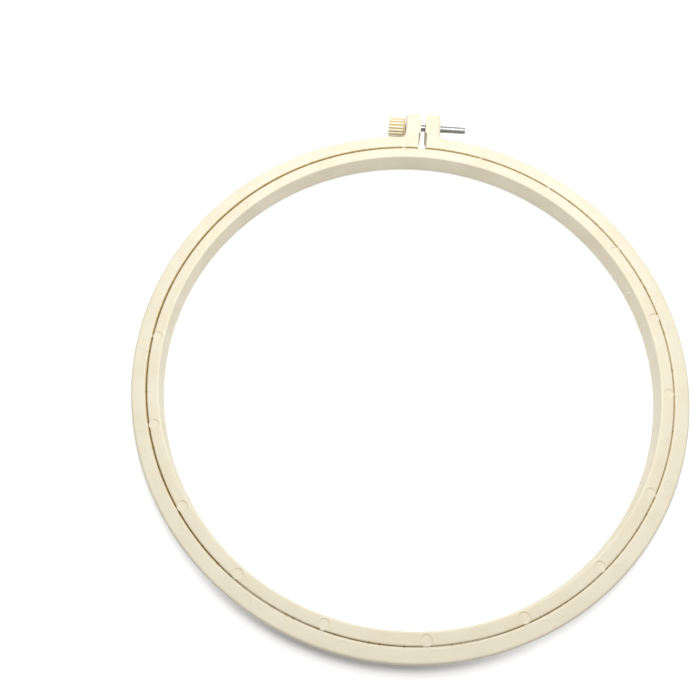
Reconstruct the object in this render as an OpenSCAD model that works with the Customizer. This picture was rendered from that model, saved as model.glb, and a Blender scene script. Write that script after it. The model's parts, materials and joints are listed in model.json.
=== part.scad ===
// Round embroidery frame: a closed inner ring and a split outer ring that a thumb screw draws tight
// around it, with the cloth held between the two. Millimetres.
// The frame lies on its back at z = 0, with the axis of the rings on Z, the lugs at +Y and the
// knob of the screw at -X. The origin is the centre of the rings, in the plane of the back.

/* [Rings] */
// Outside diameter of the inner ring, the size that the frame is sold by
hoop_d = 250; // [120:5:350]
// Depth of both rings and of the lugs, from back to front
depth = 12; // [11:0.5:20]
// Wall of the inner ring
inner_wall = 6; // [4:0.5:10]
// Wall of the outer ring
outer_wall = 7.25; // [5:0.25:12]
// Radial gap between the two rings, where the cloth is held
cloth_gap = 0.25; // [0.2:0.05:0.6]
// Rounding of the edges of the inner ring's bore
bore_edge_r = 0.8; // [0.4:0.1:1.4]
// Rounding of the edges round the outside of the outer ring and its lugs
rim_edge_r = 1.3; // [0.4:0.1:1.4]
// Rounding of the edges that face each other across the cloth gap
gap_edge_r = 0.8; // [0.2:0.1:1.2]

/* [Lugs] */
// Height of the lugs above the outer ring
lug_rise = 15; // [13.5:0.5:20]
// From the middle of the slot to the outer side of a lug
lug_reach = 9.3; // [8:0.1:14]
// Rounding of the lugs' top corners, seen from the front
lug_corner_r = 1.4; // [0.5:0.1:3]
// Fillet between a lug's side and the outer ring
lug_fillet_r = 2; // [1:0.5:4]
// Width of the slot between the clamping faces of the lugs
slot_w = 2.4; // [1:0.1:3.5]
// Width of the gap between the ends of the outer ring
split_w = 4.2; // [3.6:0.1:6]
// Height above the outer ring at which the gap narrows to the slot
split_rise = 2; // [1:0.5:4]

/* [Screw] */
// Height of the screw's axis above the outer ring
screw_rise = 9.6; // [8:0.1:12]
// Diameter over the thread
screw_d = 3.9; // [3:0.1:5]
// Length under the head
screw_len = 35; // [28:1:50]
// Diameter of the head that the knob is moulded around
head_d = 7; // [6:0.1:8]
// Height of the head
head_h = 2.8; // [2:0.1:4]
// Chamfer of the tip
tip_chamfer = 0.5; // [0.2:0.1:1]

/* [Knob] */
// Diameter over the ridges
knob_d = 10.9; // [9.5:0.1:14]
// Length along the screw
knob_len = 9; // [7:0.1:14]
// Thickness of plastic between the screw's head and the lug
knob_floor = 2; // [1.5:0.1:3]
// Number of flutes
flutes = 18; // [12:1:24]
// Diameter of the round cutter of a flute
flute_d = 1.1; // [0.8:0.1:1.6]
// Depth of a flute
flute_depth = 0.5; // [0.3:0.05:0.6]
// Chamfer of the end that faces the lug
knob_lug_chamfer = 1.2; // [0.3:0.1:1.5]
// Chamfer of the free end
knob_end_chamfer = 0.4; // [0.2:0.1:1]

/* [Nut] */
// Width across the flats
nut_af = 7; // [6:0.1:7.4]
// Height of the nut
nut_h = 3.2; // [2.4:0.1:4]
// How far the nut sits below the lug's side
nut_sink = 0.2; // [0:0.1:1]

/* [Clearances] */
// Between the knob and the lug with the screw done up
knob_gap = 0.5; // [0.2:0.05:0.7]
// Around the screw in the holes of the lugs
bore_gap = 0.25; // [0.15:0.05:0.5]
// Around the screw in the nut and in the knob
thread_gap = 0.05; // [0.03:0.01:0.1]
// Around the flats of the nut in its pocket
pocket_gap = 0.05; // [0.03:0.01:0.15]
// In front of and behind the screw's head in the knob
head_gap = 0.1; // [0.05:0.01:0.2]

/* [Hidden] */
$fn = 96;
ring_fn = 240;
// Overrun of a cutter past the surface that it opens
cut = 1;
inner_r = hoop_d / 2 - inner_wall;
cloth_r = hoop_d / 2 + cloth_gap;
outer_r = cloth_r + outer_wall;
lug_top = outer_r + lug_rise;
// Bottom of the lug block, in the middle of the outer ring's wall
lug_root = sqrt(pow(outer_r - outer_wall / 2, 2) - pow(lug_reach, 2));
screw_y = outer_r + screw_rise;
screw_z = depth / 2;
knob_face_x = -lug_reach - knob_gap;
head_back_x = knob_face_x - knob_floor - head_h;
nut_face_x = lug_reach - nut_sink - nut_h;
// Centre of the round fillet on the +X side: it touches the lug's side and the outer ring
fillet_x = lug_reach + lug_fillet_r;
fillet_y = sqrt(pow(outer_r + lug_fillet_r, 2) - pow(fillet_x, 2));
// Angle by which a fillet's web stops short of each tangent point
web_end = 14;

// Rectangle from the origin to [w, h], with one radius on its left corners and one on its right
module soft_rect(w, h, left_r, right_r) {
    translate([left_r, 0]) square([w - left_r - right_r, h]);
    translate([0, left_r]) square([left_r, h - 2 * left_r]);
    translate([w - right_r, right_r]) square([right_r, h - 2 * right_r]);
    for (y = [left_r, h - left_r]) translate([left_r, y]) circle(left_r);
    for (y = [right_r, h - right_r]) translate([w - right_r, y]) circle(right_r);
}

// Closed ring with its own edge radius on the inside and on the outside
module ring(r_in, r_out, in_edge_r, out_edge_r) {
    rotate_extrude($fn = ring_fn)
        translate([r_in, 0]) soft_rect(r_out - r_in, depth, in_edge_r, out_edge_r);
}

// Places what is drawn along +Z from the origin on the screw's axis, from x along +X
module on_screw(x) {
    translate([x, screw_y, screw_z]) rotate([0, 90, 0]) children();
}

// Block that both lugs are cut from: its front, side and top outlines, extruded and intersected
module lug_block() {
    height = lug_top - lug_root;
    intersection() {
        translate([-lug_reach, lug_root, 0])
            linear_extrude(depth) soft_rect(2 * lug_reach, height, lug_corner_r, lug_corner_r);
        translate([-lug_reach, lug_root, 0]) rotate([90, 0, 90])
            linear_extrude(2 * lug_reach) soft_rect(height, depth, rim_edge_r, rim_edge_r);
        translate([-lug_reach, lug_top, 0]) rotate([90, 0, 0])
            linear_extrude(height) soft_rect(2 * lug_reach, depth, rim_edge_r, rim_edge_r);
    }
}

// Point at a distance and in a direction from the centre of the fillet's round
function from_fillet(distance, angle) =
    [fillet_x + distance * cos(angle), fillet_y + distance * sin(angle)];

// Web that fills the corner between a lug's side and the outer ring. Its hollow is the inside of a
// ring that stands in the corner, so the web's edges are rounded like those of the ring and the lug.
// It stops web_end degrees short of both tangent points, where it would run out to nothing.
module fillet_web() {
    lug_side = 180 + web_end;
    ring_side = 180 + atan2(fillet_y, fillet_x) - web_end;
    depth_in = lug_fillet_r + rim_edge_r + cut;
    intersection() {
        translate([0, 0, -cut]) linear_extrude(depth + 2 * cut) polygon([
            from_fillet(0, 0),
            from_fillet(depth_in, lug_side),
            from_fillet(depth_in * sqrt(2), (lug_side + ring_side) / 2),
            from_fillet(depth_in, ring_side)
        ]);
        translate([fillet_x, fillet_y, 0])
            ring(lug_fillet_r, lug_fillet_r + lug_reach, rim_edge_r, rim_edge_r);
    }
}

// Opening between the two lugs and between the ends of the outer ring
module split() {
    step_y = outer_r + split_rise;
    shoulder = (split_w - slot_w) / 2;
    translate([0, 0, -cut]) linear_extrude(depth + 2 * cut) polygon([
        [-split_w / 2, cloth_r - cut],
        [split_w / 2, cloth_r - cut],
        [split_w / 2, step_y],
        [slot_w / 2, step_y + shoulder],
        [slot_w / 2, lug_top + cut],
        [-slot_w / 2, lug_top + cut],
        [-slot_w / 2, step_y + shoulder],
        [-split_w / 2, step_y]
    ]);
}

// Hexagonal bar along +Z with two of its corners on X
module hex_bar(across_flats, length) {
    cylinder(d = across_flats / cos(30), h = length, $fn = 6);
}

module outer_ring() {
    color("#F3EAD6") difference() {
        union() {
            ring(cloth_r, outer_r, gap_edge_r, rim_edge_r);
            lug_block();
            fillet_web();
            mirror([1, 0, 0]) fillet_web();
        }
        split();
        on_screw(-lug_reach - cut) cylinder(d = screw_d + 2 * bore_gap, h = 2 * (lug_reach + cut));
        on_screw(nut_face_x) hex_bar(nut_af + 2 * pocket_gap, nut_h + nut_sink + cut);
    }
}

module inner_ring() {
    color("#EFE6D0") ring(inner_r, hoop_d / 2, bore_edge_r, gap_edge_r);
}

module tension_screw() {
    length = head_h + screw_len;
    color("#A9ABA6") on_screw(head_back_x) rotate_extrude() polygon([
        [0, 0],
        [head_d / 2, 0],
        [head_d / 2, head_h],
        [screw_d / 2, head_h],
        [screw_d / 2, length - tip_chamfer],
        [screw_d / 2 - tip_chamfer, length],
        [0, length]
    ]);
}

// Fluted knob, drawn from its lug end towards its free end
module thumb_knob() {
    knob_r = knob_d / 2;
    flute_at = knob_r - flute_depth + flute_d / 2;
    color("#DCC593") translate([knob_face_x, screw_y, screw_z]) rotate([0, -90, 0]) difference() {
        rotate_extrude() polygon([
            [0, 0],
            [knob_r - knob_lug_chamfer, 0],
            [knob_r, knob_lug_chamfer],
            [knob_r, knob_len - knob_end_chamfer],
            [knob_r - knob_end_chamfer, knob_len],
            [0, knob_len]
        ]);
        for (i = [0:flutes - 1]) rotate(i * 360 / flutes)
            translate([flute_at, 0, -cut]) cylinder(d = flute_d, h = knob_len + 2 * cut, $fn = 32);
        translate([0, 0, -cut]) cylinder(d = screw_d + 2 * thread_gap, h = knob_floor + cut);
        translate([0, 0, knob_floor - head_gap])
            cylinder(d = head_d + 2 * thread_gap, h = head_h + 2 * head_gap);
    }
}

module hex_nut() {
    corner_r = nut_af / 2 / cos(30);
    bore_r = screw_d / 2 + thread_gap;
    crown = (corner_r - nut_af / 2) * tan(30);
    color("#B4B6B0") on_screw(nut_face_x) difference() {
        intersection() {
            hex_bar(nut_af, nut_h);
            rotate_extrude() polygon([
                [0, 0],
                [nut_af / 2, 0],
                [corner_r, crown],
                [corner_r, nut_h - crown],
                [nut_af / 2, nut_h],
                [0, nut_h]
            ]);
        }
        translate([0, 0, -cut]) cylinder(r = bore_r, h = nut_h + 2 * cut);
    }
}

outer_ring();
inner_ring();
tension_screw();
thumb_knob();
hex_nut();
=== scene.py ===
# %% [markdown]
# # A plastic embroidery frame, built around its CAD frame
# The real object is five pieces: an inner ring, a split outer ring with two lugs, a steel screw that
# pulls the lugs together, a fluted plastic knob on the screw's head, and a nut in the right lug.
# The CAD model already fixes where every piece is and how it moves. This lesson builds a finer mesh
# for each piece in the same place, gives it a finish, and then sets up floor, light and camera.

# %% Load the frame
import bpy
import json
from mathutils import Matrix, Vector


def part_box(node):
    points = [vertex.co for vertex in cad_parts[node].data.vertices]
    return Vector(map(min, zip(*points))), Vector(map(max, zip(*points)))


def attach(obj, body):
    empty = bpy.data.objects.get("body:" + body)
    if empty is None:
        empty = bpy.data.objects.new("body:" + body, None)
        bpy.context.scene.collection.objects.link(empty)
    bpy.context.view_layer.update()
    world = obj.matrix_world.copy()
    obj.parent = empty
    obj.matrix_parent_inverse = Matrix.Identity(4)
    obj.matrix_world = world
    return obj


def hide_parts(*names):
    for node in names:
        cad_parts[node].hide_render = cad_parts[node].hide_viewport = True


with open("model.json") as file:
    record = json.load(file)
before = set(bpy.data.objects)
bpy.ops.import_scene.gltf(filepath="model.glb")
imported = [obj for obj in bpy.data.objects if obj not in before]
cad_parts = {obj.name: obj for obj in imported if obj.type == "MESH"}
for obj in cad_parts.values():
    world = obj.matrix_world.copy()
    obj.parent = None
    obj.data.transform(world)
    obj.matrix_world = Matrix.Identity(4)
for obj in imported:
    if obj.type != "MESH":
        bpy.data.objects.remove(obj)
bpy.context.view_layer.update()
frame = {"nodes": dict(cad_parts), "record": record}
print("CAD nodes:", sorted(frame["nodes"]))

# %% [markdown]
# ## Sizes
# A piece that replaces another has to fit the same space, so the sizes are read from the frame and
# not typed again. Small sizes are easier to read in millimetres, so all shapes are worked out in
# millimetres and turned into Blender's metres at one place, where a mesh is made.

# %% Read the sizes of the CAD pieces
import json
import math

import bmesh
import bpy
import numpy as np
from mathutils import Matrix, Vector
from mathutils.geometry import delaunay_2d_cdt

MM = 0.001


def box_mm(node):
    low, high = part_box(node)
    return np.array(low) / MM, np.array(high) / MM


def toward(angle):
    """The flat direction at an angle from +X."""
    return np.array([math.cos(angle), math.sin(angle)])


bore_r = next(m["dims"]["r_mm"] for m in frame["record"]["mounts"] if m["name"] == "inner_bore")
hoop_r = box_mm("inner_ring")[1][0]
depth = box_mm("inner_ring")[1][2]
outer_r = box_mm("outer_ring")[1][0]
lug_top = box_mm("outer_ring")[1][1]
screw_low, screw_high = box_mm("tension_screw")
knob_low, knob_high = box_mm("thumb_knob")
nut_low, nut_high = box_mm("hex_nut")
axis_y, axis_z = (screw_low[1:] + screw_high[1:]) / 2
print(f"rings {bore_r:.2f} / {hoop_r:.2f} / {outer_r:.2f} mm, {depth:.1f} mm deep")
print(f"screw's axis at y {axis_y:.2f}, z {axis_z:.2f} mm")

# %% [markdown]
# ## From points to a piece
# A mesh in Blender is a list of points and a list of faces that name them. Every piece here ends in
# the same way: the mesh is made, its faces are turned outwards, smooth shading is switched on with
# hard edges kept where two faces meet at a steep angle, and the piece is hung on its CAD body.

# %% Helpers that make a mesh object and finish it as a piece
HARD_EDGE = math.radians(38)


def add_object(name, data):
    obj = bpy.data.objects.new(name, data)
    bpy.context.collection.objects.link(obj)
    return obj


def mesh_object(name, points, faces):
    mesh = bpy.data.meshes.new(name)
    mesh.from_pydata((np.asarray(points, float) * MM).tolist(), [], faces)
    obj = add_object(name, mesh)
    turn_outwards(obj)
    return obj


def turn_outwards(obj):
    work = bmesh.new()
    work.from_mesh(obj.data)
    bmesh.ops.recalc_face_normals(work, faces=work.faces)
    for edge in work.edges:
        edge.smooth = len(edge.link_faces) == 2 and edge.calc_face_angle() < HARD_EDGE
    for face in work.faces:
        face.smooth = True
    loose = sum(not edge.is_manifold for edge in work.edges)
    volume = abs(work.calc_volume()) / MM**3
    work.to_mesh(obj.data)
    work.free()
    print(f"{obj.name}: {len(obj.data.polygons)} faces, {loose} open edges, {volume:.1f} mm3")


def finish_piece(obj, body, node, material):
    obj.data.materials.clear()
    obj.data.materials.append(material)
    shading = obj.modifiers.new("even shading on flat faces", "WEIGHTED_NORMAL")
    shading.keep_sharp = True
    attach(obj, body)
    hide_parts(node)


# %% [markdown]
# ## Cutting one piece with another
# A drilled hole or a pocket could be built into the mesh by hand, but the maker's way is also the
# simple one here: make the solid first, then take away a second solid with a Boolean.

# %% Helper that cuts an object with a tool and keeps the result
def shape_with(obj, tool, operation="DIFFERENCE"):
    step = obj.modifiers.new("cut", "BOOLEAN")
    step.object = tool
    step.operation = operation
    step.solver = "MANIFOLD"
    scene_now = bpy.context.evaluated_depsgraph_get()
    shaped = bpy.data.meshes.new_from_object(obj.evaluated_get(scene_now))
    obj.modifiers.clear()
    obj.data = shaped
    bpy.data.objects.remove(tool)
    turn_outwards(obj)


# %% [markdown]
# ## Outlines
# A moulded ring is one outline with depth, so the outline comes first. It is drawn from arcs and
# straight lines, walking round with the plastic on the left hand. Each point carries the direction
# that leads out of the plastic and the radius of the rounded edge there. Where two stretches meet,
# the shared point gets a direction between the two, as the corner of a picture frame does.

# %% Helpers that draw an outline
SAME_POINT = 1e-6


def arc(centre, radius, start, end, edge, spacing=0.6):
    count = max(3, math.ceil(radius * math.radians(abs(end - start)) / spacing))
    angle = np.radians(np.linspace(start, end, count + 1))
    out = np.column_stack([np.cos(angle), np.sin(angle)])
    side = 1 if end > start else -1
    return np.array(centre) + radius * out, side * out, np.full(count + 1, float(edge))


def line(start, end, edge, end_edge=None, spacing=0.6):
    start, end = np.array(start, float), np.array(end, float)
    length = np.linalg.norm(end - start)
    share = np.linspace(0, 1, max(1, math.ceil(length / spacing)) + 1)[:, None]
    along = (end - start) / length
    out = np.tile([along[1], -along[0]], (len(share), 1))
    return start + share * (end - start), out, np.linspace(edge, end_edge or edge, len(share))


def closed_outline(stretches):
    points, outs, edges = [], [], []
    for stretch in stretches:
        for point, out, edge in zip(*stretch):
            if points and np.linalg.norm(point - points[-1]) < SAME_POINT:
                outs[-1] = (outs[-1] + out) / (1 + outs[-1] @ out)
                edges[-1] = min(edges[-1], edge)
            else:
                points.append(point)
                outs.append(out)
                edges.append(edge)
    if np.linalg.norm(points[0] - points[-1]) < SAME_POINT:
        outs[0] = (outs[0] + outs[-1]) / (1 + outs[0] @ outs[-1])
        points, outs, edges = points[:-1], outs[:-1], edges[:-1]
    return {"points": np.array(points), "out": np.array(outs), "edge": np.array(edges)}


# %% [markdown]
# ## Marks of the ejector pins
# When the mould opens, steel pins push the ring out. Each pin leaves a shallow round print in the
# front face with a fine raised rim round it, and a thin lip of plastic where it touches the side
# of the ring, which nearly closes the gap between the rings for a millimetre or two. A bump in the
# material could fake this, but the prints are visible shapes, so they are pressed into the face:
# circles of points are added round the middle of each print, lowered inside and raised at the rim.
# The rims are the highest places of the rings, so the flat face lies a little below the full depth.
# No ring sits quite in the middle of the other, so the gap is wider on one side. There the prints
# are shallow and have no lips, as on a moulding whose pins push harder on one side than on the other.

# %% Pin marks: where they are and how deep each one is
SEED = 14450
rng = np.random.default_rng(SEED)
JITTER = 2.0
DEPTH_SPREAD = (0.7, 1.3)
LEAN_SPREAD = (0.7, 1.0)
LIP_SPREAD = (0, 1.05)
LIP_HALF = 1.6
PIN_R = 2.5
PIN_WALL = 0.3
PIN_RIM_TOP = 0.08
PIN_RIM = 0.33
PIN_RIM_RISE = 0.06
FACE_DROP = 0.08
face_z = depth - FACE_DROP
PIN_COUNT = 18
LEAN = toward(math.radians(50))
OFF_CENTRE = (0.09, -0.08)
WIDE_SIDE = math.atan2(-OFF_CENTRE[1], -OFF_CENTRE[0])
NO_LIP_WITHIN = math.radians(32)
WIDE_DEPTH = 0.4


def on_wide_side(angle):
    return math.cos(angle - WIDE_SIDE) > math.cos(NO_LIP_WITHIN)


def pin_marks(centre_r, first_angle, mean_depth):
    marks = []
    for i in range(PIN_COUNT):
        angle = math.radians(first_angle + i * 360 / PIN_COUNT + rng.uniform(-JITTER, JITTER))
        mark = {
            "angle": angle,
            "centre": centre_r * toward(angle),
            "depth": mean_depth * rng.uniform(*DEPTH_SPREAD),
            "lean": rng.uniform(*LEAN_SPREAD),
            "lip": LIP_HALF - rng.uniform(*LIP_SPREAD),
        }
        if on_wide_side(angle):
            mark["depth"] *= WIDE_DEPTH
            mark["lip"] = 0.0
        marks.append(mark)
    return marks


INNER_DEPTH = 0.13
OUTER_DEPTH = 0.03
INNER_FIRST = 16.4
OUTER_FIRST = 0.0
INNER_SHIFT = 0.5
OUTER_SHIFT = 0.4
inner_marks = pin_marks((bore_r + hoop_r) / 2 + INNER_SHIFT, INNER_FIRST, INNER_DEPTH)
outer_marks = pin_marks((hoop_r + outer_r) / 2 + OUTER_SHIFT, OUTER_FIRST, OUTER_DEPTH)
print("pin marks:", len(inner_marks), "on the inner ring,", len(outer_marks), "on the outer ring")


# %% Circles of points in and round each mark, lowered inside and raised at the rim
MARK_CIRCLES = (0.0, 0.9, 1.7, PIN_R - PIN_WALL, PIN_R - PIN_WALL / 2, PIN_R,
                PIN_R + PIN_RIM_TOP, PIN_R + PIN_RIM)
MARK_SPACING = 0.26
MARK_STEPS = 12
SEAT_MARGIN = 0.14


def mark_height(mark, offset, radius):
    """Height over the flat face of a point of a mark, at an offset from its middle."""
    sunk = min(1.0, max(0.0, (PIN_R - radius) / PIN_WALL))
    lean = 1 + mark["lean"] * (offset @ LEAN) / PIN_R
    raised = PIN_RIM_RISE * mark["depth"] / INNER_DEPTH * (radius == PIN_R + PIN_RIM_TOP)
    return min(FACE_DROP, (raised - mark["depth"] * sunk) * lean)


def mark_points(marks, low_r, high_r):
    """Points of all marks on the face from low_r to high_r, and the links that keep the rims round."""
    points, links = [], []
    for mark in marks:
        for radius in MARK_CIRCLES:
            count = 1 if radius == 0 else max(MARK_STEPS, round(math.tau * radius / MARK_SPACING))
            first = len(points)
            kept = []
            for k in range(count):
                offset = radius * toward(math.tau * k / count)
                spot = mark["centre"] + offset
                if low_r + SEAT_MARGIN < np.linalg.norm(spot) < high_r - SEAT_MARGIN:
                    points.append((*spot, mark_height(mark, offset, radius)))
                    kept.append(k)
            for a in range(len(kept)):
                b = (a + 1) % len(kept)
                if radius >= PIN_R - PIN_WALL and (kept[b] - kept[a]) % count == 1:
                    links.append((first + a, first + b))
    return points, links


# %% [markdown]
# ## A flat ring with rounded edges
# A ring could be spun from its section, but the outer one has lugs and a slot, so both are built as
# an outline with depth: rows of points go up the side, and curve in over the edge at both ends. The
# two flat faces are filled with a triangulation that keeps to the outlines and to the pin marks.

# %% Helper that says which points lie in the plastic
def inside(points, outlines):
    x, y = points[:, :1], points[:, 1:]
    odd = np.zeros(len(points), bool)
    for start in outlines:
        end = np.roll(start, -1, 0)
        rises = (start[:, 1] > y) != (end[:, 1] > y)
        step = np.where(end[:, 1] == start[:, 1], 1.0, end[:, 1] - start[:, 1])
        crossing = start[:, 0] + (y - start[:, 1]) / step * (end[:, 0] - start[:, 0])
        odd ^= ((rises & (x < crossing)).sum(1) % 2).astype(bool)
    return odd


# %% Helper that fills a flat face between outlines
def fill_face(outlines, numbers, extra, links, first_extra):
    """Triangles between the outlines, by the numbers that their points have in the whole mesh."""
    coords = [Vector(p) for outline in outlines for p in outline]
    edges = []
    start = 0
    for outline in outlines:
        size = len(outline)
        edges += [(start + i, start + (i + 1) % size) for i in range(size)]
        start += size
    edges += [(start + a, start + b) for a, b in links]
    coords += [Vector(p[:2]) for p in extra]
    points, _, triangles, origin, _, _ = delaunay_2d_cdt(coords, edges, [], 0, SAME_POINT, True)
    name = list(numbers) + list(range(first_extra, first_extra + len(extra)))
    middle = np.array([(points[a] + points[b] + points[c]) / 3 for a, b, c in triangles])
    keep = inside(middle, outlines)
    return [tuple(name[origin[v][0]] for v in t) for t, good in zip(triangles, keep) if good]


# %% [markdown]
# ## The parting line
# The two halves of the mould meet half way up the walls. The moulding slips out of each half because
# its walls lean in a little, the draft, and a hair of plastic is squeezed out where the halves meet.
# So a wall has a few more rows of points: it is widest at this fine line and leans in from there.
# Two more rows on each side of it change no shape. They are there so that a tone can fade out.

# %% Rows of a wall, from the back face to the front face
EDGE_STEPS = 5
DRAFT = 0.05
PARTING_HALF = 0.16
PARTING_RISE = 0.03
FADE_ROWS = (0.25, 0.5)


def between_rows(a, b, share):
    return tuple(p + (q - p) * share for p, q in zip(a, b))


def wall_rows(outline):
    """How far each row of points lies inside the outline, and how high."""
    back, front = outline.get("back_edge", outline["edge"]), outline["edge"]
    level = np.ones(len(front))
    quarter = np.radians(np.linspace(0, 90, EDGE_STEPS + 1))
    below = [(DRAFT + back * (1 - np.cos(t)), back * (1 - np.sin(t))) for t in quarter[::-1]]
    above = [(DRAFT + front * (1 - np.cos(t)), face_z - front * (1 - np.sin(t))) for t in quarter]
    middle = [(level * inset, level * depth / 2 + rise) for rise, inset in
              [(-PARTING_HALF, PARTING_RISE), (0, 0), (PARTING_HALF, PARTING_RISE)]]
    low_fade = [between_rows(below[-1], middle[0], share) for share in FADE_ROWS]
    high_fade = [between_rows(above[0], middle[-1], share) for share in FADE_ROWS[::-1]]
    return below + low_fade + middle + high_fade + above


# %% Helper that builds the whole ring
def ring_mesh(outlines, marks, face_range):
    points, faces, fronts, backs = [], [], [], []
    for outline in outlines:
        base, size = len(points), len(outline["points"])
        rows = wall_rows(outline)
        for inset, height in rows:
            flat = outline["points"] - outline["out"] * inset[:, None]
            points += np.column_stack([flat, height]).tolist()
        for row in range(len(rows) - 1):
            low, high = base + row * size, base + (row + 1) * size
            faces += [(low + i, low + (i + 1) % size, high + (i + 1) % size, high + i)
                      for i in range(size)]
        backs.append(range(base, base + size))
        fronts.append(range(base + (len(rows) - 1) * size, base + len(rows) * size))
    extra, links = mark_points(marks, *face_range)
    flat = np.array(points)[:, :2]
    first_extra = len(points)
    front_ids = [i for r in fronts for i in r]
    back_ids = [i for r in backs for i in r]
    faces += fill_face([flat[list(r)] for r in fronts], front_ids, extra, links, first_extra)
    faces += [f[::-1] for f in fill_face([flat[list(r)] for r in backs], back_ids, [], [], 0)]
    points += [(x, y, face_z + z) for x, y, z in extra]
    return points, faces


# %% [markdown]
# ## Inner ring
# A closed hoop of cream plastic. Its outline is two circles, so the helper only needs these. The
# lips at the pin marks are made on the outline itself: near a mark the rounded edge turns almost
# square and moves out a little, which still stays clear of the outer ring. The outer circle is off
# the centre by a tenth of a millimetre, which makes the gap wider on one side.

# %% Build the inner ring
EDGE_R = 0.8
GAP_EDGE_R = 0.8
CLOTH_GAP = 0.25
LIP_EDGE_R = 0.15
LIP_OUT = 0.16
LIP_CLEAR = 0.03
LIP_RUN = 0.6
RIM_SPACING = 0.5
BORE_SPACING = 1.0
cloth_r = hoop_r + CLOTH_GAP


def add_lips(outline, push):
    """Squares the edge beside each mark on the side of the gap, and pushes it out by push."""
    outline["back_edge"] = outline["edge"].copy()
    angle = np.arctan2(outline["points"][:, 1], outline["points"][:, 0])
    distance = np.linalg.norm(outline["points"], axis=1)
    at_gap = distance < cloth_r + LIP_CLEAR
    room = np.minimum(push, cloth_r - LIP_CLEAR - distance)
    for mark in (mark for mark in inner_marks if mark["lip"]):
        away = (angle - mark["angle"] + math.pi) % math.tau - math.pi
        share = np.clip((mark["lip"] - np.abs(away) * hoop_r) / LIP_RUN + 0.5, 0, 1) * at_gap
        outline["edge"] += share * (LIP_EDGE_R - outline["edge"])
        outline["points"] += (share * np.maximum(room, 0))[:, None] * outline["out"]


rim = closed_outline([arc(OFF_CENTRE, hoop_r, 0, 360, GAP_EDGE_R, RIM_SPACING)])
bore = closed_outline([arc((0, 0), bore_r, 360, 0, EDGE_R, BORE_SPACING)])
add_lips(rim, LIP_OUT)
inner_ring = mesh_object("inner_ring_moulding", *ring_mesh(
    [rim, bore], inner_marks, (bore_r + EDGE_R, hoop_r - GAP_EDGE_R - math.hypot(*OFF_CENTRE))))

# %% [markdown]
# ## Mark of the gate
# The melt enters the mould through a narrow gate on the parting line. When the moulding is broken
# off, a small lump stays on the wall of the bore. It is a flattened ball, half sunk into the wall
# and joined to the ring with a Boolean, so that ring and lump are one surface.

# %% Add the lump to the wall of the bore
GATE_ANGLE = math.radians(25.0)
GATE_HEIGHT = 6.4
GATE_HALF = (0.6, 0.9, 1.3)


def flattened_ball(name, centre, turn, half, rings=12, around=24):
    """Ball with its own half size outwards, along the wall and upwards, turned about Z."""
    points, faces = [], []
    for r in range(1, rings):
        tilt = math.pi * r / rings
        for k in range(around):
            out, along = half[:2] * math.sin(tilt) * toward(math.tau * k / around)
            flat = out * toward(turn) + along * toward(turn + math.pi / 2)
            points.append(centre + np.array([*flat, half[2] * math.cos(tilt)]))
    for r in range(rings - 2):
        for k in range(around):
            n = (k + 1) % around
            faces.append((r * around + k, (r + 1) * around + k, (r + 1) * around + n, r * around + n))
    faces.append(tuple(range(around)))
    faces.append(tuple(range(len(points) - around, len(points)))[::-1])
    return mesh_object(name, points, faces)


gate_centre = np.array([*bore_r * toward(GATE_ANGLE), GATE_HEIGHT])
gate = flattened_ball("gate", gate_centre, GATE_ANGLE, np.array(GATE_HALF))
shape_with(inner_ring, gate, "UNION")

# %% [markdown]
# ## Outer ring with its lugs
# One C-shaped moulding. Walking round it starts at the left lug, follows the outside of the ring,
# turns up a small fillet into the right lug, over its rounded corner, down the slot, and back along
# the inside. The slot is wider near the ring than between the lugs, with a slope between the two.
# Where a lip of the inner ring comes near, the edge of this ring is left square too.

# %% Draw the outline of the outer ring
RIM_EDGE_R = 1.3
LUG_REACH = 9.3
LUG_CORNER_R = 1.4
FILLET_R = 2.0
SLOT_HALF = 1.2
SPLIT_HALF = 2.1
SPLIT_RISE = 2.0
SLOT_EDGE_R = 0.18
SLOT_CORNER_R = 0.25
EDGE_BLEND = 1.0
BLEND_SPACING = 0.12
FILLET_SPACING = 0.2
LUG_CORNER_SPACING = 0.15
SLOT_CORNER_SPACING = 0.08
BLEND_COUNT = 4

fillet_x = LUG_REACH + FILLET_R
fillet_y = math.sqrt((outer_r + FILLET_R) ** 2 - fillet_x**2)
fillet_angle = math.degrees(math.atan2(fillet_y, fillet_x))
split_angle = math.degrees(math.asin((SPLIT_HALF + SLOT_CORNER_R) / (cloth_r + SLOT_CORNER_R)))
step_y = outer_r + SPLIT_RISE
shoulder = SPLIT_HALF - SLOT_HALF


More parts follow.
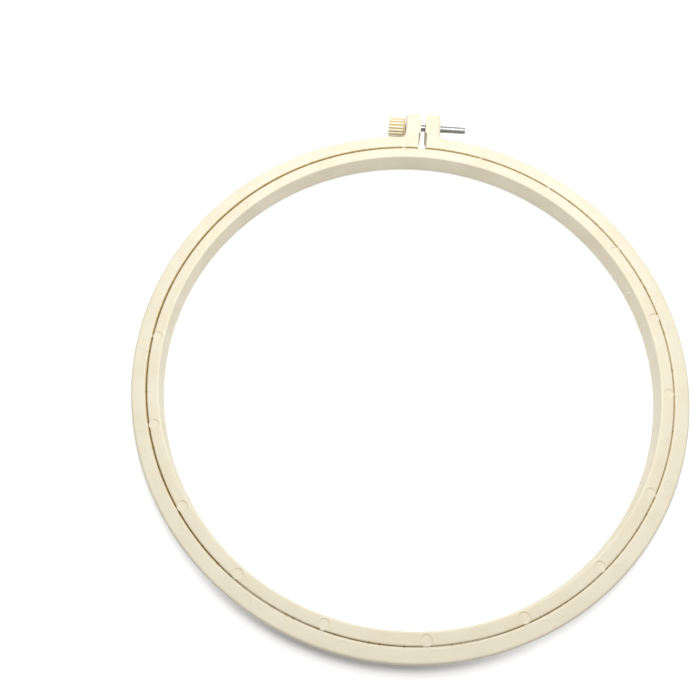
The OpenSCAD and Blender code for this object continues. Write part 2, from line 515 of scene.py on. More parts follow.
def right_lug():
    """From the outside of the ring over the right lug and down the slot to the cloth side."""
    corner_y = (cloth_r + SLOT_CORNER_R) * math.cos(math.radians(split_angle))
    slot_x = SLOT_HALF + SLOT_CORNER_R
    blend_x = slot_x + EDGE_BLEND
    return [
        arc((fillet_x, fillet_y), FILLET_R, fillet_angle + 180, 180, RIM_EDGE_R, FILLET_SPACING),
        line((LUG_REACH, fillet_y), (LUG_REACH, lug_top - LUG_CORNER_R), RIM_EDGE_R),
        arc((LUG_REACH - LUG_CORNER_R, lug_top - LUG_CORNER_R), LUG_CORNER_R, 0, 90,
            RIM_EDGE_R, LUG_CORNER_SPACING),
        line((LUG_REACH - LUG_CORNER_R, lug_top), (blend_x, lug_top), RIM_EDGE_R),
        line((blend_x, lug_top), (slot_x, lug_top), RIM_EDGE_R, SLOT_EDGE_R, BLEND_SPACING),
        arc((slot_x, lug_top - SLOT_CORNER_R), SLOT_CORNER_R, 90, 180,
            SLOT_EDGE_R, SLOT_CORNER_SPACING),
        line((SLOT_HALF, lug_top - SLOT_CORNER_R), (SLOT_HALF, step_y + shoulder), SLOT_EDGE_R),
        line((SLOT_HALF, step_y + shoulder), (SPLIT_HALF, step_y), SLOT_EDGE_R),
        line((SPLIT_HALF, step_y), (SPLIT_HALF, corner_y), SLOT_EDGE_R),
        arc((SPLIT_HALF + SLOT_CORNER_R, corner_y), SLOT_CORNER_R, 180, 270 - split_angle,
            SLOT_EDGE_R, SLOT_CORNER_SPACING),
    ]


def mirrored(stretch):
    points, out, edge = stretch
    flip = np.array([-1, 1])
    return points[::-1] * flip, out[::-1] * flip, edge[::-1]


# %% Join the stretches into one outline
right = right_lug()
hoop_outside = arc((0, 0), outer_r, 180 - fillet_angle, 360 + fillet_angle, RIM_EDGE_R)
hoop_inside = arc((0, 0), cloth_r, 90 - split_angle, split_angle - 270, GAP_EDGE_R)
hoop_inside[2][:BLEND_COUNT] = np.linspace(SLOT_EDGE_R, GAP_EDGE_R, BLEND_COUNT)
hoop_inside[2][-BLEND_COUNT:] = np.linspace(GAP_EDGE_R, SLOT_EDGE_R, BLEND_COUNT)
left = [mirrored(stretch) for stretch in reversed(right)]
c_outline = closed_outline([hoop_outside, *right, hoop_inside, *left])
add_lips(c_outline, 0.0)
print("outline of the outer ring:", len(c_outline["points"]), "points")

# %% Build the outer ring
outer_ring = mesh_object("outer_ring_moulding", *ring_mesh(
    [c_outline], outer_marks, (cloth_r + GAP_EDGE_R, outer_r - RIM_EDGE_R)))

# %% [markdown]
# ## Turned shapes
# Holes, screws and knobs are round about the screw's axis, so they come from a lathe: a profile of
# points, each a place along the axis and a radius, is spun about the axis. A radius of zero closes
# the end in a point. Corners of a profile are rounded first, with a short arc in each.

# %% Helper that rounds the corners of a profile
def rounded(profile, radii, steps=4):
    """The profile with each inner corner i replaced by an arc of radii[i]."""
    result = [np.array(profile[0], float)]
    for before, corner, after, radius in zip(profile, profile[1:], profile[2:], radii):
        before, corner, after = (np.array(p, float) for p in (before, corner, after))
        a = (before - corner) / np.linalg.norm(before - corner)
        b = (after - corner) / np.linalg.norm(after - corner)
        half = math.acos(np.clip(a @ b, -1, 1)) / 2
        centre = corner + (a + b) / np.linalg.norm(a + b) * radius / math.sin(half)
        start = corner + a * radius / math.tan(half) - centre
        end = corner + b * radius / math.tan(half) - centre
        sweep = math.pi - 2 * half
        for k in range(steps + 1):
            t = k / steps
            mix = start * math.sin((1 - t) * sweep) + end * math.sin(t * sweep)
            result.append(centre + mix / math.sin(sweep))
    result.append(np.array(profile[-1], float))
    return result


# %% Helper that spins a profile
def around_axis(x, radius, turn):
    return (x, axis_y + radius * math.cos(turn), axis_z + radius * math.sin(turn))


def lathe(profile, count, limit=None):
    """Spins (place, radius) points about the screw's axis. limit(angle, radius) can lower a radius."""
    points, rows, faces = [], [], []
    for x, radius in profile:
        first = len(points)
        if radius == 0:
            points.append((x, axis_y, axis_z))
            rows.append([first] * count)
            continue
        for k in range(count):
            turn = math.tau * k / count
            points.append(around_axis(x, limit(turn, radius) if limit else radius, turn))
        rows.append(list(range(first, first + count)))
    for low, high in zip(rows, rows[1:]):
        for k in range(count):
            n = (k + 1) % count
            corners = dict.fromkeys((low[k], low[n], high[n], high[k]))
            if len(corners) > 2:
                faces.append(tuple(corners))
    return points, faces


# %% [markdown]
# ## Hole and nut pocket in the lugs
# The screw passes both lugs, with a small chamfer where the hole meets each face. The right lug
# also has a hexagonal pocket that keeps the nut from turning. Both are cut with a tool: the drill is
# a turned shape, and the pocket's tool is a hexagonal bar with two of its corners up and down.

# %% Cut the lugs
HOLE_R = 2.2
HOLE_CHAMFER = 0.2
HOLE_STEPS = 64
POCKET_GAP = 0.05
OVERRUN = 1.0


def flare(face_x, side):
    """Profile points of a chamfer at a face, for a drill that goes along +X."""
    near = (face_x, HOLE_R + HOLE_CHAMFER)
    far = (face_x + side * HOLE_CHAMFER, HOLE_R)
    return [near, far] if side > 0 else [far, near]


drill_profile = [(-LUG_REACH - OVERRUN, 0), (-LUG_REACH - OVERRUN, HOLE_R + HOLE_CHAMFER)]
drill_profile += flare(-LUG_REACH, 1) + flare(-SLOT_HALF, -1) + flare(SLOT_HALF, 1)
drill_profile += [(LUG_REACH + OVERRUN, HOLE_R), (LUG_REACH + OVERRUN, 0)]
drill = mesh_object("drill", *lathe(drill_profile, HOLE_STEPS))
shape_with(outer_ring, drill)


def hex_bar(name, across_flats, x_start, x_end):
    corner_r = across_flats / 2 / math.cos(math.radians(30))
    points = [around_axis(x, corner_r, math.radians(90 - 60 * k)) for x in (x_start, x_end)
              for k in range(6)]
    faces = [(k, (k + 1) % 6, 6 + (k + 1) % 6, 6 + k) for k in range(6)]
    return mesh_object(name, points, faces + [(5, 4, 3, 2, 1, 0), (6, 7, 8, 9, 10, 11)])


nut_flats = nut_high[1] - nut_low[1]
nut_face_x, nut_end_x = nut_low[0], nut_high[0]
pocket = hex_bar("pocket", nut_flats + 2 * POCKET_GAP, nut_face_x, LUG_REACH + OVERRUN)
shape_with(outer_ring, pocket)

# %% [markdown]
# ## Knob
# A moulded thumb knob with a ring of flutes. Its section is an outline of arcs: the hollow of a
# flute, a small rounding, and the crest between two flutes. A soft minimum of this section and the
# turned profile lets the flutes run out over the chamfers, as on the real moulding. Inside it is
# hollow where the screw's head sits.

# %% Section of the knob: its radius at an angle
FLUTES = 18
FLUTE_R = 0.55
FLUTE_DEPTH = 0.5
FLUTE_TURN = math.radians(8.5)
CREST_R = 0.14
SOFTNESS = 0.12

knob_r = (knob_high[1] - knob_low[1]) / 2
flute_at = knob_r - FLUTE_DEPTH + FLUTE_R
crest_at = knob_r - CREST_R
crest_angle = math.acos(
    (flute_at**2 + crest_at**2 - (FLUTE_R + CREST_R) ** 2) / (2 * flute_at * crest_at))


def ray_to_circle(distance, angle, radius, sign):
    """Where a ray from the axis meets a circle whose centre lies off the ray by an angle."""
    across = distance * math.sin(angle)
    return distance * math.cos(angle) + sign * math.sqrt(max(radius**2 - across**2, 0))


def touch_angle():
    """Angle at which the hollow of a flute turns into the rounding of a crest."""
    share = FLUTE_R / (FLUTE_R + CREST_R)
    x = flute_at + share * (crest_at * math.cos(crest_angle) - flute_at)
    return math.atan2(share * crest_at * math.sin(crest_angle), x)


flute_end = touch_angle()


def knob_section(turn):
    pitch = math.tau / FLUTES
    off = abs((turn - math.pi / 2 - FLUTE_TURN + pitch / 2) % pitch - pitch / 2)
    if off < flute_end:
        return ray_to_circle(flute_at, off, FLUTE_R, -1)
    if off < crest_angle:
        return ray_to_circle(crest_at, off - crest_angle, CREST_R, 1)
    return knob_r


def soft_minimum(a, b):
    mix = min(max(0.5 + 0.5 * (b - a) / SOFTNESS, 0), 1)
    return b + (a - b) * mix - SOFTNESS * mix * (1 - mix)


print(f"knob {2 * knob_r:.1f} mm over {FLUTES} crests,",
      f"{2 * (knob_r - FLUTE_DEPTH):.1f} mm in the flutes")

# %% Profile of the knob, outside and inside
KNOB_FLOOR = 1.9
HEAD_ROOM = 3.0
CAVITY_R = 3.55
KNOB_BORE_R = 2.0
BORE_CHAMFER = 0.2
LUG_CHAMFER = 1.2
END_CHAMFER = 0.4
END_INSET = 1.6
OUTSIDE_RADII = (0.12, 0.15, 0.2, 0.15)
FLUTED_BAND = 1.5
PROFILE_STEP = 0.12
STEPS_PER_FLUTE = 16
knob_face_x, knob_end_x = knob_high[0], knob_low[0]
cavity_x = knob_face_x - KNOB_FLOOR


def fine_steps(profile, spacing):
    result = [profile[0]]
    for a, b in zip(profile, profile[1:]):
        count = max(1, math.ceil(np.linalg.norm(np.subtract(b, a)) / spacing))
        result += [np.add(a, np.subtract(b, a) * k / count) for k in range(1, count + 1)]
    return result


barrel_r = knob_r + SOFTNESS / 4
knob_outside = rounded([
    (knob_end_x, knob_r - END_INSET),
    (knob_end_x, knob_r - END_CHAMFER),
    (knob_end_x + END_CHAMFER, barrel_r),
    (knob_face_x - LUG_CHAMFER, barrel_r),
    (knob_face_x, knob_r - LUG_CHAMFER),
    (knob_face_x, knob_r - END_INSET),
], OUTSIDE_RADII)
knob_inside = [
    (knob_face_x, KNOB_BORE_R + BORE_CHAMFER),
    (knob_face_x - BORE_CHAMFER, KNOB_BORE_R),
    (cavity_x, KNOB_BORE_R),
    (cavity_x, CAVITY_R),
    (cavity_x - HEAD_ROOM, CAVITY_R),
    (cavity_x - HEAD_ROOM, 0),
]
knob_profile = [(knob_end_x, 0)] + fine_steps(knob_outside, PROFILE_STEP) + knob_inside


def fluted(turn, radius):
    return soft_minimum(knob_section(turn), radius) if radius > knob_r - FLUTED_BAND else radius


knob = mesh_object("thumb_knob_moulding", *lathe(knob_profile, FLUTES * STEPS_PER_FLUTE, fluted))

# %% [markdown]
# ## Screw
# The thread is a real helix. A turned grid of points follows it: each row starts one step further
# along the axis and climbs by one pitch in a turn, so a crest stays on the same row all the way
# round. The rows are cut off square at both ends, and the tip has a chamfer. The head is a plain
# turned drum, because it stays hidden in the knob.

# %% Thread of the screw
PITCH = 0.7
THREAD_R = 1.95
THREAD_DEPTH = 0.2
CREST_SHARE = 0.4
ROOT_SHARE = 0.2
ROWS_PER_TURN = 10
ROUND_STEPS = 40
TIP_CHAMFER = 0.5
RUN_OUT = 1.2
TINY = 1e-9
HEAD_H = 2.8
head_r = (screw_high[2] - screw_low[2]) / 2
head_back_x, tip_x = screw_low[0], screw_high[0]
neck_x = head_back_x + HEAD_H


def thread_radius(x, phase):
    """Flat crest, sloping flanks and narrow root, fading out at the neck and cut by the tip."""
    flank = 1 - CREST_SHARE - ROOT_SHARE
    climb = min(max((abs(phase - 0.5) * 2 - CREST_SHARE) / flank, 0), 1)
    fade = min(max((x - neck_x) / RUN_OUT, 0), 1)
    radius = THREAD_R - THREAD_DEPTH * (0.5 + (climb - 0.5) * fade)
    return min(radius, THREAD_R - TIP_CHAMFER + (tip_x - x))


def screw_mesh():
    turns = math.ceil((tip_x - neck_x) / PITCH) + 2
    points, names, faces = [], {}, []

    def vertex(row, step):
        row += (step // ROUND_STEPS) * ROWS_PER_TURN
        step %= ROUND_STEPS
        x = neck_x - PITCH + PITCH * (row / ROWS_PER_TURN + step / ROUND_STEPS)
        end = "neck" if x <= neck_x + TINY else "tip" if x >= tip_x - TINY else row
        if (end, step) not in names:
            x = min(max(x, neck_x), tip_x)
            radius = thread_radius(x, row / ROWS_PER_TURN % 1)
            names[end, step] = len(points)
            points.append(around_axis(x, radius, math.tau * step / ROUND_STEPS))
        return names[end, step]

    for row in range(turns * ROWS_PER_TURN):
        for step in range(ROUND_STEPS):
            quad = (vertex(row, step), vertex(row + 1, step),
                    vertex(row + 1, step + 1), vertex(row, step + 1))
            corners = tuple(dict.fromkeys(quad))
            if len(corners) > 2:
                faces.append(corners)
    return points, faces, names


# %% Head of the screw, joined to the thread
screw_points, screw_faces, screw_names = screw_mesh()
neck_ring = [screw_names["neck", k] for k in range(ROUND_STEPS)]
tip_ring = [screw_names["tip", k] for k in range(ROUND_STEPS)]
screw_faces.append(tuple(tip_ring))
HEAD_RADII = (0.2, 0.35)
head_profile = rounded([(neck_x, THREAD_R), (neck_x, head_r), (head_back_x, head_r),
                        (head_back_x, 0)], HEAD_RADII)
last_ring = neck_ring
for x, radius in head_profile[1:-1]:
    ring = list(range(len(screw_points), len(screw_points) + ROUND_STEPS))
    screw_points += [around_axis(x, radius, math.tau * k / ROUND_STEPS) for k in range(ROUND_STEPS)]
    screw_faces += [(last_ring[k], last_ring[k - 1], ring[k - 1], ring[k]) for k in range(ROUND_STEPS)]
    last_ring = ring
screw_faces.append(tuple(last_ring))
screw = mesh_object("tension_screw_thread", screw_points, screw_faces)

# %% [markdown]
# ## Nut
# A nut is cut from hexagonal bar and turned on both faces, which leaves the curved edges between
# flats and crown. The same two steps make it here: a hexagonal bar is limited to a turned blank,
# and the hole, with its countersinks, is taken out of it.

# %% Build the nut
NUT_BORE_R = 2.0
COUNTERSINK = 0.25
BLANK_STEPS = 120
FACE_CLEAR = 0.01
CORNER_CLEAR = 0.02
nut_corner_r = (nut_high[2] - nut_low[2]) / 2
crown = (nut_corner_r - nut_flats / 2) * math.tan(math.radians(30))
nut = hex_bar("hex_nut_steel", nut_flats, nut_face_x, nut_end_x)
blank_profile = [
    (nut_face_x - FACE_CLEAR, 0),
    (nut_face_x - FACE_CLEAR, nut_flats / 2),
    (nut_face_x + crown, nut_corner_r + CORNER_CLEAR),
    (nut_end_x - crown, nut_corner_r + CORNER_CLEAR),
    (nut_end_x + FACE_CLEAR, nut_flats / 2),
    (nut_end_x + FACE_CLEAR, 0),
]
shape_with(nut, mesh_object("blank", *lathe(blank_profile, BLANK_STEPS)), "INTERSECT")
tap_profile = [
    (nut_face_x - OVERRUN, 0),
    (nut_face_x - OVERRUN, NUT_BORE_R + COUNTERSINK + OVERRUN),
    (nut_face_x + COUNTERSINK, NUT_BORE_R),
    (nut_end_x - COUNTERSINK, NUT_BORE_R),
    (nut_end_x + OVERRUN, NUT_BORE_R + COUNTERSINK + OVERRUN),
    (nut_end_x + OVERRUN, 0),
]
shape_with(nut, mesh_object("tap", *lathe(tap_profile, HOLE_STEPS)))

# %% [markdown]
# ## Finishes
# All finishes start from the Principled shader. Colours are picked as they look on a screen, from 0
# to 255, and the shader wants linear light, so one helper converts them.

# %% Helpers for materials
def screen_colour(red, green, blue):
    def linear(value):
        value /= 255
        return value / 12.92 if value <= 0.04045 else ((value + 0.055) / 1.055) ** 2.4

    return (linear(red), linear(green), linear(blue), 1.0)


def new_finish(name):
    material = bpy.data.materials.new(name)
    material.use_nodes = True
    return material, material.node_tree.nodes, material.node_tree.links


def set_inputs(node, **values):
    """Sets inputs of a node by name, with an underscore for each space."""
    for name, value in values.items():
        node.inputs[name.replace("_", " ")].default_value = value


def noise(nodes, links, size_mm, detail=3.0, roughness=0.5, stretch=(1, 1, 1)):
    """Noise whose grains are about size_mm wide, fixed to the piece."""
    place = nodes.new("ShaderNodeTexCoord")
    scale = nodes.new("ShaderNodeMapping")
    grain = nodes.new("ShaderNodeTexNoise")
    set_inputs(scale, Scale=[s / (size_mm * MM) for s in stretch])
    set_inputs(grain, Scale=1.0, Detail=detail, Roughness=roughness)
    links.new(place.outputs["Object"], scale.inputs["Vector"])
    links.new(scale.outputs["Vector"], grain.inputs["Vector"])
    return grain.outputs["Fac"]


def ramp(nodes, links, factor, stops):
    """Colour ramp through (position, colour) stops."""
    node = nodes.new("ShaderNodeValToRGB")
    elements = node.color_ramp.elements
    while len(elements) < len(stops):
        elements.new(0.5)
    for element, (position, colour) in zip(elements, stops):
        element.position = position
        element.color = colour
    links.new(factor, node.inputs["Fac"])
    return node.outputs["Color"]


# %% Helpers for values in a material
def measure(nodes, links, operation, other=(0.0, 0.0, 0.0)):
    """Length, distance or dot product, in metres, of a place as seen from straight above."""
    place = nodes.new("ShaderNodeTexCoord")
    flat = nodes.new("ShaderNodeVectorMath")
    flat.operation = "MULTIPLY"
    flat.inputs[1].default_value = (1.0, 1.0, 0.0)
    node = nodes.new("ShaderNodeVectorMath")
    node.operation = operation
    node.inputs[1].default_value = other
    links.new(place.outputs["Object"], flat.inputs[0])
    links.new(flat.outputs["Vector"], node.inputs[0])
    return node.outputs["Value"]


def combine(nodes, links, operation, first, second):
    node = nodes.new("ShaderNodeMath")
    node.operation = operation
    for value, socket in zip((first, second), node.inputs):
        if isinstance(value, float):
            socket.default_value = value
        else:
            links.new(value, socket)
    return node.outputs["Value"]


def rising(nodes, links, value, start, end, low=0.0, high=1.0):
    """Goes from low to high while the value goes from start to end, and stays level outside."""
    node = nodes.new("ShaderNodeMapRange")
    set_inputs(node, From_Min=start, From_Max=end, To_Min=low, To_Max=high)
    links.new(value, node.inputs["Value"])
    return node.outputs["Result"]


def between(nodes, links, factor, low, high):
    """Turns noise, most of which lies from 0.3 to 0.7, into a value from low to high."""
    return rising(nodes, links, factor, 0.3, 0.7, low, high)


def bump(nodes, links, height, distance_mm, strength, below=None):
    node = nodes.new("ShaderNodeBump")
    set_inputs(node, Strength=strength, Distance=distance_mm * MM)
    links.new(height, node.inputs["Height"])
    if below:
        links.new(below, node.inputs["Normal"])
    return node.outputs["Normal"]


# %% [markdown]
# ## Moulded plastic
# The rings are satin plastic: pale, a little soft in the light, with faint clouds of warmer and
# cooler tone where the melt flowed, and a skin that is never quite smooth. The clouds are a wide
# noise through a colour ramp, and the skin is a fine noise as bump under a wide, very low wave. The
# mould was turned on a lathe, so the rings' flat faces also carry its fine round lines.
# A warm tone is painted into the mouth of the gap between the rings as shade, stronger where the
# gap is wide, with a darker speck of real dust here and there. Shade is painted the same way into
# the flutes of the knob and onto the walls of the pin prints, darker on one side of each print.
# Each point of a mesh keeps a value that says how deep it lies in such a place, and the colour
# reads it.

# %% Value for deep places, and the plastic finishes
SHADE_AND_DIRT_NAME = "deep"
CLOUD_MM = 14.0
PATCH_MM = 5.0
WAVE_MM, WAVE_BUMP = 6.0, (0.05, 0.2)
TURNED_MM, TURNED_BUMP = 0.8, (0.02, 0.6)
SKIN_MM, SKIN_BUMP = 0.25, (0.008, 0.5)
ROUGHNESS = (0.35, 0.47)


def keep_depth(obj, values):
    kept = obj.data.attributes.new(SHADE_AND_DIRT_NAME, "FLOAT", "POINT")
    kept.data.foreach_set("value", np.clip(values, 0, 1).astype(np.float32))


def turned_lines(nodes, links, spacing_mm):
    """Noise that only changes with the distance from the rings' axis."""
    lines = nodes.new("ShaderNodeTexNoise")
    lines.noise_dimensions = "1D"
    set_inputs(lines, Scale=1 / (spacing_mm * MM), Detail=2.0)
    links.new(measure(nodes, links, "LENGTH"), lines.inputs["W"])
    return lines.outputs["Fac"]


def plastic(name, light, dark, deep, turned=True):
    material, nodes, links = new_finish(name)
    shader = nodes["Principled BSDF"]
    clouds = noise(nodes, links, CLOUD_MM, 2.0, 0.45)
    place = nodes.new("ShaderNodeAttribute")
    place.attribute_name = SHADE_AND_DIRT_NAME
    # mixes in the colour of painted shade, and of dust, where the kept value is high
    tone = nodes.new("ShaderNodeMix")
    tone.data_type = "RGBA"
    tone.inputs["B"].default_value = deep
    links.new(place.outputs["Fac"], tone.inputs["Factor"])
    links.new(ramp(nodes, links, clouds, [(0.32, dark), (0.68, light)]), tone.inputs["A"])
    links.new(tone.outputs["Result"], shader.inputs["Base Color"])
    patches = noise(nodes, links, PATCH_MM, 3.0)
    links.new(between(nodes, links, patches, *ROUGHNESS), shader.inputs["Roughness"])
    below = bump(nodes, links, noise(nodes, links, WAVE_MM, 1.0), *WAVE_BUMP)
    if turned:
        below = bump(nodes, links, turned_lines(nodes, links, TURNED_MM), *TURNED_BUMP, below)
    skin = bump(nodes, links, noise(nodes, links, SKIN_MM, 2.0), *SKIN_BUMP, below)
    links.new(skin, shader.inputs["Normal"])
    set_inputs(shader, IOR=1.49, Subsurface_Weight=0.12, Subsurface_Radius=(1.0, 0.8, 0.55),
               Subsurface_Scale=1.5 * MM)
    return material


# colour of the painted shade in the gap and on the pin prints, and of the dust specks there
dust_and_painted_shade = screen_colour(206, 184, 130)
ivory = plastic("ivory plastic", screen_colour(247, 238, 215), screen_colour(242, 232, 206), dust_and_painted_shade)
cream = plastic("cream plastic", screen_colour(246, 237, 213), screen_colour(241, 230, 203), dust_and_painted_shade)
# the tan knob's third colour is painted shade in the bottoms of its flutes
tan = plastic("tan plastic", screen_colour(255, 251, 234), screen_colour(252, 245, 222),
              screen_colour(205, 175, 98), turned=False)

# %% Deep places of the plastic pieces
GAP_REACH = GAP_EDGE_R + 0.2
GAP_TOP = 0.15
GAP_FULL = 2.0
GAP_END = 3.4
SPECK_COUNT = 900
SPECK_SHARE = 0.08
SPECK_TONE = 2.2
DUST_TONES = (0.75, 1.05)
NARROW_TONE, WIDE_TONE = 0.36, 0.6
WIDE_REACH = 0.3
MARK_TONE, MARK_TONE_LEAN = 0.3, 0.4
WALL_BAND = PIN_WALL / 2 - 0.01
NEAR_FACE = 0.5
BARREL_ENDS = (0.2, 0.4)
is_speck = rng.uniform(0, 1, SPECK_COUNT) < SPECK_SHARE
specks = np.where(is_speck, SPECK_TONE, rng.uniform(*DUST_TONES, SPECK_COUNT))
print("dust specks in the gap:", is_speck.sum())


# %% Keep the value on the plastic pieces
def painted_shade_and_dust_in_gap(obj, marks):
    """Painted shade and dust specks between the rings, most where the gap is wide; painted shade a
    little along each pin mark.
    """
    spots = np.array([v.co for v in obj.data.vertices]) / MM
    flat, height = spots[:, :2], spots[:, 2]
    from_gap = np.abs(np.linalg.norm(flat, axis=1) - (hoop_r + cloth_r) / 2)
    below = np.minimum(height, face_z - height)
    turn = np.arctan2(flat[:, 1], flat[:, 0])
    wide = 0.5 + 0.5 * np.cos(turn - WIDE_SIDE)
    nearest = ((turn / math.tau + 0.5) * (SPECK_COUNT - 1)).astype(int)
    # painted shade, stronger on the wide side of the gap, times dust specks and a random spread
    dust_and_shade_weight = (NARROW_TONE + WIDE_TONE * wide) * specks[nearest]
    value = np.clip((GAP_REACH + WIDE_REACH * wide - from_gap) / GAP_EDGE_R, 0, 1) * dust_and_shade_weight
    value *= np.clip(below / GAP_TOP, 0, 1) * np.clip((GAP_END - below) / (GAP_END - GAP_FULL), 0, 1)
    # painted shade on the wall of each pin print, darker on its leaning side
    for mark in marks:
        offset = flat - mark["centre"]
        reach = np.linalg.norm(offset, axis=1)
        on_wall = np.abs(reach - PIN_R + PIN_WALL / 2) < WALL_BAND
        tone = MARK_TONE + MARK_TONE_LEAN * (offset @ LEAN) / PIN_R
        tone *= on_wall & (height > depth - NEAR_FACE)
        value = np.maximum(value, tone * mark["depth"] / INNER_DEPTH)
    return value


# painted shade, darker the deeper a point lies in a flute
def painted_shade_in_flutes(obj):
    spots = np.array([v.co for v in obj.data.vertices]) / MM
    along = spots[:, 0]
    on_barrel = (along > knob_end_x + BARREL_ENDS[0]) & (along < knob_face_x - BARREL_ENDS[1])
    return on_barrel * ((knob_r - from_axis(obj)) / FLUTE_DEPTH) ** 2


def from_axis(obj):
    """Distance of each point of a piece from the screw's axis."""
    return np.array([math.hypot(v.co.y / MM - axis_y, v.co.z / MM - axis_z)
                     for v in obj.data.vertices])


keep_depth(inner_ring, painted_shade_and_dust_in_gap(inner_ring, inner_marks))
keep_depth(outer_ring, painted_shade_and_dust_in_gap(outer_ring, outer_marks))
keep_depth(knob, painted_shade_in_flutes(knob))
print("plastics:", ivory.name, cream.name, tan.name)

# %% [markdown]
# ## Zinc plated steel
# Plating is a thin bright metal skin with a slightly cloudy gloss. Rolling the thread leaves fine
# lines round the screw. The roots are coloured darker: partly oil and dust that stay there, partly
# painted shade. The roots are found by their distance from the axis, which each point of the mesh
# keeps as a value. The nut is coloured darker towards its bore, as painted shade.

# %% Steel finishes
CLOUDY_MM = 2.5
LINES_MM, LINES_STRETCH, LINES_BUMP = 0.12, (4.0, 0.3, 0.3), (0.004, 0.15)
BORE_SHADE = 1.0


def steel(name, bright, dull, gloss):
    material, nodes, links = new_finish(name)
    shader = nodes["Principled BSDF"]
    set_inputs(shader, Metallic=1.0)
    root = nodes.new("ShaderNodeAttribute")
    root.attribute_name = SHADE_AND_DIRT_NAME
    # the kept value darkens the base colour: painted shade, partly oil and dust
    links.new(ramp(nodes, links, root.outputs["Fac"], [(0.0, bright), (1.0, dull)]),
              shader.inputs["Base Color"])
    cloudy = noise(nodes, links, CLOUDY_MM, 2.0)
    links.new(between(nodes, links, cloudy, gloss - 0.03, gloss + 0.05), shader.inputs["Roughness"])
    lines = noise(nodes, links, LINES_MM, 2.0, 0.5, LINES_STRETCH)
    links.new(bump(nodes, links, lines, *LINES_BUMP), shader.inputs["Normal"])
    return material


zinc = steel("zinc plated screw", screen_colour(184, 186, 184), screen_colour(135, 135, 131), 0.3)
nut_zinc = steel("zinc plated nut", screen_colour(190, 191, 187), screen_colour(120, 117, 108), 0.32)
# painted shade, with oil and dust, darker towards the roots of the thread
keep_depth(screw, (THREAD_R - from_axis(screw)) / THREAD_DEPTH)
# painted shade in the nut's bore, fading within BORE_SHADE of it
keep_depth(nut, NUT_BORE_R + BORE_SHADE - from_axis(nut))
print("steels:", zinc.name, nut_zinc.name)

# %% [markdown]
# ## Hang the pieces on the frame
# Each piece rides on the CAD body that carries the node it stands for. The nut sits in the outer
# ring's lug, the knob turns, and the screw slides, so that the frame can be opened.

# %% Finish all pieces
finish_piece(outer_ring, "outer_hoop", "outer_ring", ivory)
finish_piece(inner_ring, "inner_hoop", "inner_ring", cream)
finish_piece(screw, "screw", "tension_screw", zinc)
finish_piece(knob, "knob", "thumb_knob", tan)
finish_piece(nut, "outer_hoop", "hex_nut", nut_zinc)

# %% [markdown]
# ## Floor and surroundings
# The frame lies on a plain white sheet. The sheet is lit like the frame and keeps its shadow, and a
# little light of its own, seen only by the camera and in reflections, lifts it to a clean white. This
# glow is uneven and paints light and shadow. It is strongest under slot and screw, which let in
# little other light, and there it paints light into their shade. It is stronger far from the frame
# than near it. It is weakest behind the knob and in a narrow strip along the ring on the shadow's
# side, where it paints a dark shadow at the foot of the ring that a full glow would wash out.

# %% Levels of the glow at places on the sheet
FLOOR_HALF = 6.0
FLOOR_DROP = 0.0002
GLOW_LEVELS = [(0.0, 0.4), (0.128, 0.4), (0.1338, 0.5), (0.136, 0.65), (0.16, 0.62), (0.6, 0.8)]
# a strip of lower glow along the ring on the shadow's side: painted shadow
PAINTED_SHADOW_STRIP_LEVELS = [(0.128, 0.0), (0.1318, 0.4), (0.1343, 0.38), (0.1362, 0.1), (0.141, 0.0)]
GLOW_REACH = GLOW_LEVELS[-1][0]
SHADOW_WAY = (-0.12, -0.99, 0.0)
STRIP_START = 0.11
STRIP_FULL = 0.131
# spots of more glow under the slot and the screw's free end paint light; less glow behind the knob
# paints shadow
PAINTED_LIGHT_AND_SHADOW_SPOTS = [((0.0, 0.140, 0.0), 0.25), ((0.022, 0.147, 0.0), 0.1), ((-0.0096, 0.150, 0.0), -0.6)]
SPOT_FULL = 0.003
SPOT_END = 0.008


# %% Helpers for the glow
def seen_directly(nodes, links):
    """1 for rays that reach the eye straight, from a shiny surface or through glass, and 0 else."""
    path = nodes.new("ShaderNodeLightPath")
    camera_ray, shiny_ray, glass_ray = (
        path.outputs[f"Is {kind} Ray"] for kind in ("Camera", "Glossy", "Transmission"))
    either = combine(nodes, links, "MAXIMUM", camera_ray, shiny_ray)
    return combine(nodes, links, "MAXIMUM", either, glass_ray)


def glow_level(nodes, links):
    """Level of the glow at a place on the sheet, with its painted light and painted shadow."""
    from_middle = measure(nodes, links, "LENGTH")
    share = combine(nodes, links, "DIVIDE", from_middle, GLOW_REACH)
    levels = [[(metres / GLOW_REACH, (level, level, level, 1.0)) for metres, level in stops]
              for stops in (GLOW_LEVELS, PAINTED_SHADOW_STRIP_LEVELS)]
    shadow_side = measure(nodes, links, "DOT_PRODUCT", SHADOW_WAY)
    side_share = rising(nodes, links, shadow_side, STRIP_START, STRIP_FULL)
    painted_shadow_strip = combine(nodes, links, "MULTIPLY", ramp(nodes, links, share, levels[1]), side_share)
    level = combine(nodes, links, "SUBTRACT", ramp(nodes, links, share, levels[0]), painted_shadow_strip)
    for centre, change in PAINTED_LIGHT_AND_SHADOW_SPOTS:
        away = measure(nodes, links, "DISTANCE", centre)
        spot = rising(nodes, links, away, SPOT_FULL, SPOT_END, change, 0.0)
        level = combine(nodes, links, "ADD", level, spot)
    return level


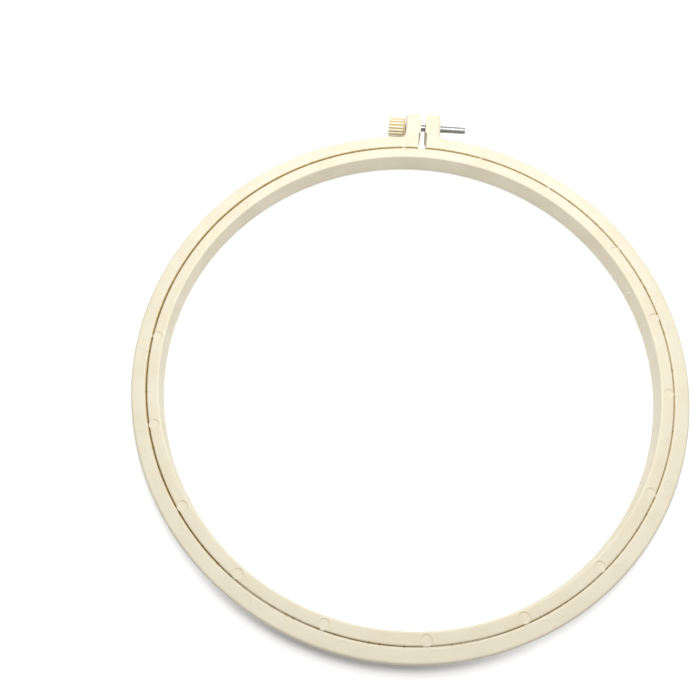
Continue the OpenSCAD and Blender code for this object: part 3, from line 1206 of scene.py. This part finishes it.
# %% Floor
def floor_finish():
    material, nodes, links = new_finish("white sheet")
    nodes.remove(nodes["Principled BSDF"])
    paper = nodes.new("ShaderNodeBsdfDiffuse")
    set_inputs(paper, Color=screen_colour(231, 231, 232))
    glow = nodes.new("ShaderNodeEmission")
    set_inputs(glow, Color=(1.0, 1.0, 1.0, 1.0))
    strength = combine(nodes, links, "MULTIPLY", seen_directly(nodes, links), glow_level(nodes, links))
    links.new(strength, glow.inputs["Strength"])
    both = nodes.new("ShaderNodeAddShader")
    links.new(paper.outputs["BSDF"], both.inputs[0])
    links.new(glow.outputs["Emission"], both.inputs[1])
    links.new(both.outputs["Shader"], nodes["Material Output"].inputs["Surface"])
    return material


corners = [(-1, -1), (1, -1), (1, 1), (-1, 1)]
floor_mesh = bpy.data.meshes.new("floor")
floor_mesh.from_pydata([(x * FLOOR_HALF, y * FLOOR_HALF, -FLOOR_DROP) for x, y in corners], [],
                       [(0, 1, 2, 3)])
floor_mesh.materials.append(floor_finish())
floor = add_object("floor", floor_mesh)

# %% World
SKY_STRENGTH = 0.3
world = bpy.data.worlds.new("studio")
bpy.context.scene.world = world
world.use_nodes = True
sky_nodes, sky_links = world.node_tree.nodes, world.node_tree.links
sky = sky_nodes["Background"]
set_inputs(sky, Color=(1.0, 1.0, 1.0, 1.0))
direct = seen_directly(sky_nodes, sky_links)
sky_level = rising(sky_nodes, sky_links, direct, 0.0, 1.0, SKY_STRENGTH, 1.0)
sky_links.new(sky_level, sky.inputs["Strength"])
print(f"floor {2 * FLOOR_HALF:.0f} m wide, sky at {SKY_STRENGTH}")

# %% [markdown]
# ## Light
# One large soft lamp hangs nearly overhead, above the far part of the ring. It makes the far side of
# the ring brighter than the near side, leaves the inner wall under it in shade, and throws a soft
# shadow from the near side. The sky above supplies the rest.

# %% Lamp
LAMP_PLACE = (0.005, 0.13, 0.4)
lamp_data = bpy.data.lights.new("window", "AREA")
lamp_data.shape = "SQUARE"
lamp_data.size = 0.3
lamp_data.energy = 1.56
lamp = add_object("window", lamp_data)
lamp.location = LAMP_PLACE
lamp.rotation_euler = Vector(LAMP_PLACE).to_track_quat("Z", "Y").to_euler()
print(f"lamp {lamp_data.size:.1f} m wide, {Vector(LAMP_PLACE).length:.2f} m from the origin")

# %% [markdown]
# ## Camera
# The photograph looks down on the frame from the near side. A camera that was fitted to the circles
# of the rings gives the place, the direction and the focal length.

# %% Camera
CAMERA_PLACE = (-15.10, -133.13, 370.5)
LOOK = (-0.03549, 0.36258, -0.93128)
UP = (-0.07504, 0.92827, 0.36426)
SENSOR = 36.0
FOCAL_SHARE = 800 / 700

camera_data = bpy.data.cameras.new("camera")
camera_data.sensor_width = SENSOR
camera_data.lens = SENSOR * FOCAL_SHARE
camera = add_object("camera", camera_data)
back = -Vector(LOOK).normalized()
right_hand = Vector(UP).cross(back).normalized()
turned = Matrix((right_hand, back.cross(right_hand), back)).transposed().to_4x4()
camera.matrix_world = Matrix.Translation(Vector(CAMERA_PLACE) * MM) @ turned
bpy.context.scene.camera = camera
bpy.context.scene.view_settings.view_transform = "Standard"
print(f"lens {camera_data.lens:.1f} mm, camera {Vector(CAMERA_PLACE).length:.0f} mm from the origin")
